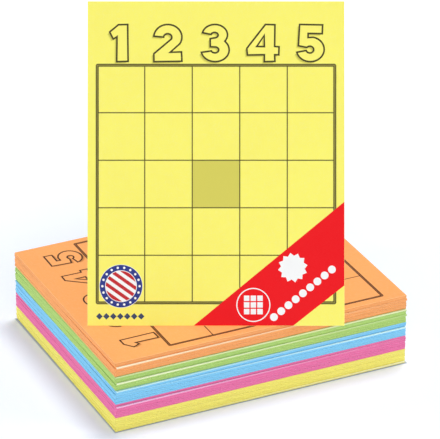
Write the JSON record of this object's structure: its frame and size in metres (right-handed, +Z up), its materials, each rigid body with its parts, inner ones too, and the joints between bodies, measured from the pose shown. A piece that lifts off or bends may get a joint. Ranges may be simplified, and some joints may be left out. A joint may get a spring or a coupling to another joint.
{
  "type": "bingo card pack",
  "caption": "Pack of loose square-cornered bingo cards in five colours, stacked by colour, with one yellow card standing on top and leaning back.",
  "frame": {"origin": "middle of the underside of the stack of cards", "axes": "+Z up out of the stack, +X along its long side away from the cards' heads, +Y across it towards the back"},
  "size_m": [0.2299, 0.203, 0.2587],
  "materials": {
    "yellow_board": "yellow colour-through solid board, uncoated, with dark printed lines",
    "pink_board": "pink colour-through solid board, uncoated, with dark printed lines",
    "blue_board": "blue colour-through solid board, uncoated, with dark printed lines",
    "green_board": "green colour-through solid board, uncoated, with dark printed lines",
    "orange_board": "orange colour-through solid board, uncoated, with dark printed lines"
  },
  "bodies": {
    "yellow_card_1": {"yellow_card_1": "yellow_board"},
    "yellow_card_2": {"yellow_card_2": "yellow_board"},
    "yellow_card_3": {"yellow_card_3": "yellow_board"},
    "yellow_card_4": {"yellow_card_4": "yellow_board"},
    "yellow_card_5": {"yellow_card_5": "yellow_board"},
    "yellow_card_6": {"yellow_card_6": "yellow_board"},
    "yellow_card_7": {"yellow_card_7": "yellow_board"},
    "pink_card_1": {"pink_card_1": "pink_board"},
    "pink_card_2": {"pink_card_2": "pink_board"},
    "pink_card_3": {"pink_card_3": "pink_board"},
    "pink_card_4": {"pink_card_4": "pink_board"},
    "pink_card_5": {"pink_card_5": "pink_board"},
    "pink_card_6": {"pink_card_6": "pink_board"},
    "pink_card_7": {"pink_card_7": "pink_board"},
    "blue_card_1": {"blue_card_1": "blue_board"},
    "blue_card_2": {"blue_card_2": "blue_board"},
    "blue_card_3": {"blue_card_3": "blue_board"},
    "blue_card_4": {"blue_card_4": "blue_board"},
    "blue_card_5": {"blue_card_5": "blue_board"},
    "blue_card_6": {"blue_card_6": "blue_board"},
    "blue_card_7": {"blue_card_7": "blue_board"},
    "green_card_1": {"green_card_1": "green_board"},
    "green_card_2": {"green_card_2": "green_board"},
    "green_card_3": {"green_card_3": "green_board"},
    "green_card_4": {"green_card_4": "green_board"},
    "green_card_5": {"green_card_5": "green_board"},
    "green_card_6": {"green_card_6": "green_board"},
    "green_card_7": {"green_card_7": "green_board"},
    "orange_card_1": {"orange_card_1": "orange_board"},
    "orange_card_2": {"orange_card_2": "orange_board"},
    "orange_card_3": {"orange_card_3": "orange_board"},
    "orange_card_4": {"orange_card_4": "orange_board"},
    "orange_card_5": {"orange_card_5": "orange_board"},
    "orange_card_6": {"orange_card_6": "orange_board"},
    "orange_card_7": {"orange_card_7": "orange_board"},
    "standing_yellow_card": {"standing_yellow_card": "yellow_board"}
  },
  "joints": [
    {"name": "standing_yellow_card_tilt", "type": "hinge", "parent": "orange_card_7", "child": "standing_yellow_card", "pos_m": [-0.11, -0.0335, 0.0553], "axis": [-0.9026, 0.4305, 0], "range_deg": [-27.5, 62.5]},
    {"name": "orange_card_7_slide", "type": "slide", "parent": "yellow_card_1", "child": "orange_card_7", "axis": [1, 0, 0], "range_m": [-0.24, 0.24]},
    {"name": "orange_card_6_slide", "type": "slide", "parent": "yellow_card_1", "child": "orange_card_6", "axis": [1, 0, 0], "range_m": [-0.24, 0.24]},
    {"name": "orange_card_5_slide", "type": "slide", "parent": "yellow_card_1", "child": "orange_card_5", "axis": [1, 0, 0], "range_m": [-0.24, 0.24]},
    {"name": "orange_card_4_slide", "type": "slide", "parent": "yellow_card_1", "child": "orange_card_4", "axis": [1, 0, 0], "range_m": [-0.24, 0.24]},
    {"name": "orange_card_3_slide", "type": "slide", "parent": "yellow_card_1", "child": "orange_card_3", "axis": [1, 0, 0], "range_m": [-0.24, 0.24]},
    {"name": "orange_card_2_slide", "type": "slide", "parent": "yellow_card_1", "child": "orange_card_2", "axis": [1, 0, 0], "range_m": [-0.24, 0.24]},
    {"name": "orange_card_1_slide", "type": "slide", "parent": "yellow_card_1", "child": "orange_card_1", "axis": [1, 0, 0], "range_m": [-0.24, 0.24]},
    {"name": "green_card_7_slide", "type": "slide", "parent": "yellow_card_1", "child": "green_card_7", "axis": [1, 0, 0], "range_m": [-0.24, 0.24]},
    {"name": "green_card_6_slide", "type": "slide", "parent": "yellow_card_1", "child": "green_card_6", "axis": [1, 0, 0], "range_m": [-0.24, 0.24]},
    {"name": "green_card_5_slide", "type": "slide", "parent": "yellow_card_1", "child": "green_card_5", "axis": [1, 0, 0], "range_m": [-0.24, 0.24]},
    {"name": "green_card_4_slide", "type": "slide", "parent": "yellow_card_1", "child": "green_card_4", "axis": [1, 0, 0], "range_m": [-0.24, 0.24]},
    {"name": "green_card_3_slide", "type": "slide", "parent": "yellow_card_1", "child": "green_card_3", "axis": [1, 0, 0], "range_m": [-0.24, 0.24]},
    {"name": "green_card_2_slide", "type": "slide", "parent": "yellow_card_1", "child": "green_card_2", "axis": [1, 0, 0], "range_m": [-0.24, 0.24]},
    {"name": "green_card_1_slide", "type": "slide", "parent": "yellow_card_1", "child": "green_card_1", "axis": [1, 0, 0], "range_m": [-0.24, 0.24]},
    {"name": "blue_card_7_slide", "type": "slide", "parent": "yellow_card_1", "child": "blue_card_7", "axis": [1, 0, 0], "range_m": [-0.24, 0.24]},
    {"name": "blue_card_6_slide", "type": "slide", "parent": "yellow_card_1", "child": "blue_card_6", "axis": [1, 0, 0], "range_m": [-0.24, 0.24]},
    {"name": "blue_card_5_slide", "type": "slide", "parent": "yellow_card_1", "child": "blue_card_5", "axis": [1, 0, 0], "range_m": [-0.24, 0.24]},
    {"name": "blue_card_4_slide", "type": "slide", "parent": "yellow_card_1", "child": "blue_card_4", "axis": [1, 0, 0], "range_m": [-0.24, 0.24]},
    {"name": "blue_card_3_slide", "type": "slide", "parent": "yellow_card_1", "child": "blue_card_3", "axis": [1, 0, 0], "range_m": [-0.24, 0.24]},
    {"name": "blue_card_2_slide", "type": "slide", "parent": "yellow_card_1", "child": "blue_card_2", "axis": [1, 0, 0], "range_m": [-0.24, 0.24]},
    {"name": "blue_card_1_slide", "type": "slide", "parent": "yellow_card_1", "child": "blue_card_1", "axis": [1, 0, 0], "range_m": [-0.24, 0.24]},
    {"name": "pink_card_7_slide", "type": "slide", "parent": "yellow_card_1", "child": "pink_card_7", "axis": [1, 0, 0], "range_m": [-0.24, 0.24]},
    {"name": "pink_card_6_slide", "type": "slide", "parent": "yellow_card_1", "child": "pink_card_6", "axis": [1, 0, 0], "range_m": [-0.24, 0.24]},
    {"name": "pink_card_5_slide", "type": "slide", "parent": "yellow_card_1", "child": "pink_card_5", "axis": [1, 0, 0], "range_m": [-0.24, 0.24]},
    {"name": "pink_card_4_slide", "type": "slide", "parent": "yellow_card_1", "child": "pink_card_4", "axis": [1, 0, 0], "range_m": [-0.24, 0.24]},
    {"name": "pink_card_3_slide", "type": "slide", "parent": "yellow_card_1", "child": "pink_card_3", "axis": [1, 0, 0], "range_m": [-0.24, 0.24]},
    {"name": "pink_card_2_slide", "type": "slide", "parent": "yellow_card_1", "child": "pink_card_2", "axis": [1, 0, 0], "range_m": [-0.24, 0.24]},
    {"name": "pink_card_1_slide", "type": "slide", "parent": "yellow_card_1", "child": "pink_card_1", "axis": [1, 0, 0], "range_m": [-0.24, 0.24]},
    {"name": "yellow_card_7_slide", "type": "slide", "parent": "yellow_card_1", "child": "yellow_card_7", "axis": [1, 0, 0], "range_m": [-0.24, 0.24]},
    {"name": "yellow_card_6_slide", "type": "slide", "parent": "yellow_card_1", "child": "yellow_card_6", "axis": [1, 0, 0], "range_m": [-0.24, 0.24]},
    {"name": "yellow_card_5_slide", "type": "slide", "parent": "yellow_card_1", "child": "yellow_card_5", "axis": [1, 0, 0], "range_m": [-0.24, 0.24]},
    {"name": "yellow_card_4_slide", "type": "slide", "parent": "yellow_card_1", "child": "yellow_card_4", "axis": [1, 0, 0], "range_m": [-0.24, 0.24]},
    {"name": "yellow_card_3_slide", "type": "slide", "parent": "yellow_card_1", "child": "yellow_card_3", "axis": [1, 0, 0], "range_m": [-0.24, 0.24]},
    {"name": "yellow_card_2_slide", "type": "slide", "parent": "yellow_card_1", "child": "yellow_card_2", "axis": [1, 0, 0], "range_m": [-0.24, 0.24]}
  ]
}
